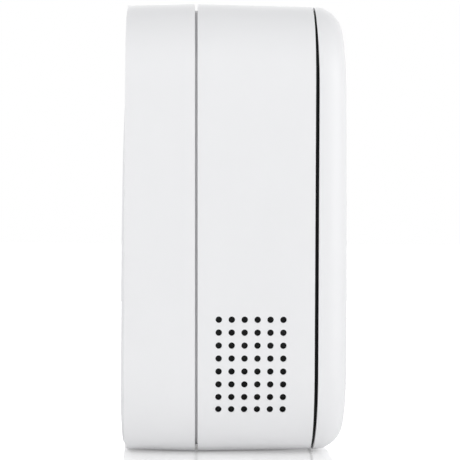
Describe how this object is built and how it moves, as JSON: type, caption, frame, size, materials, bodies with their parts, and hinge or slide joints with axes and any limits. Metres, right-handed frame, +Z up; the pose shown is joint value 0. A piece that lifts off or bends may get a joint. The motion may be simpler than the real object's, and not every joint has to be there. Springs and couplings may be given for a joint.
{
  "type": "video doorbell",
  "caption": "Battery video doorbell: pillow-shaped front cover with camera, motion sensor and push button, a side speaker grille, and an oval slide-on wall plate.",
  "frame": {"origin": "under the middle of the body, on the surface that it stands on", "axes": "+Z up, the front with the button faces -Y, and the speaker grille is on the -X side"},
  "size_m": [0.07, 0.0615, 0.1223],
  "materials": {
    "white_shell": "fine satin texture",
    "white_button": "satin",
    "plate_white": "powder coated",
    "black_plastic": "satin",
    "black_rubber": "matt",
    "black_gloss": "polished",
    "dark_glass": "polished, tinted",
    "lens_glass": "coated",
    "filter_glass": "coated",
    "black_board": "solder mask",
    "green_board": "solder mask",
    "chip": "satin",
    "lens_white": "translucent",
    "light_guide": "translucent",
    "tinned_steel": "tinned",
    "screw_steel": "plated",
    "magnet_steel": "plated",
    "brass": "nickel flashed",
    "switch_stem": "satin",
    "black_mesh": "acoustic mesh",
    "black_foam": "closed-cell foam",
    "speaker_paper": "pressed paper",
    "cable_black": "matt",
    "cell_wrap": "shrink wrap",
    "reset_orange": "satin"
  },
  "bodies": {
    "housing": {"front_cover": "white_shell", "main_housing": "white_shell", "rear_housing": "white_shell", "front_frame": "black_plastic", "front_seal": "black_rubber", "housing_seal": "black_rubber", "camera_bezel": "black_gloss", "camera_window": "dark_glass", "ir_led_board": "black_board", "lens_barrel": "black_plastic", "lens_glass": "lens_glass", "lens_holder": "black_plastic", "image_sensor": "chip", "camera_board": "green_board", "pir_lens": "lens_white", "pir_sensor": "tinned_steel", "sensor_board": "green_board", "button_light_ring": "light_guide", "button_board": "green_board", "button_switch": "black_plastic", "microphone": "tinned_steel", "microphone_boot": "black_rubber", "main_board": "green_board", "processor_shield": "tinned_steel", "wifi_module": "tinned_steel", "wifi_antenna": "black_board", "board_screw_1": "screw_steel", "board_screw_2": "screw_steel", "board_screw_3": "screw_steel", "speaker_mesh": "black_mesh", "speaker_gasket": "black_foam", "speaker_frame": "black_plastic", "speaker_cone": "speaker_paper", "speaker_magnet": "magnet_steel", "speaker_screw_front": "screw_steel", "speaker_screw_rear": "screw_steel", "speaker_lead": "cable_black", "battery_cell_left": "cell_wrap", "battery_cell_right": "cell_wrap", "battery_clamp": "black_plastic", "battery_board": "green_board", "battery_link": "tinned_steel", "battery_lead": "cable_black", "power_board": "green_board", "terminal_block": "brass", "terminal_screw_left": "screw_steel", "terminal_screw_right": "screw_steel", "usb_port": "tinned_steel", "reset_switch": "black_plastic", "power_lead": "cable_black", "housing_screw_upper_left": "screw_steel", "housing_screw_upper_right": "screw_steel", "housing_screw_lower_left": "screw_steel", "housing_screw_lower_right": "screw_steel"},
    "doorbell_button": {"button_cap": "white_button"},
    "doorbell_stem": {"button_switch_stem": "switch_stem"},
    "reset_key": {"reset_button": "reset_orange"},
    "reset_stem": {"reset_switch_stem": "switch_stem"},
    "wall_plate": {"mounting_plate": "plate_white"},
    "ir_filter": {"ir_cut_filter": "filter_glass"}
  },
  "joints": [
    {"name": "doorbell_press", "type": "slide", "parent": "housing", "child": "doorbell_button", "axis": [0, 1, 0], "range_m": [0, 0.0006], "stiffness_N_per_m": 600},
    {"name": "doorbell_stem_travel", "type": "slide", "parent": "housing", "child": "doorbell_stem", "axis": [0, 1, 0], "range_m": [0, 0.0006]},
    {"name": "reset_press", "type": "slide", "parent": "housing", "child": "reset_key", "axis": [0, -1, 0], "range_m": [0, 0.0005], "stiffness_N_per_m": 500},
    {"name": "reset_stem_travel", "type": "slide", "parent": "housing", "child": "reset_stem", "axis": [0, -1, 0], "range_m": [0, 0.0005]},
    {"name": "plate_slide", "type": "slide", "parent": "housing", "child": "wall_plate", "axis": [0, 0, -1], "range_m": [0, 0.01]},
    {"name": "ir_filter_slide", "type": "slide", "parent": "housing", "child": "ir_filter", "axis": [1, 0, 0], "range_m": [0, 0.0056]}
  ],
  "couplings": [
    {"joint": "doorbell_stem_travel", "follows": "doorbell_press", "ratio": 1},
    {"joint": "reset_stem_travel", "follows": "reset_press", "ratio": 1}
  ]
}
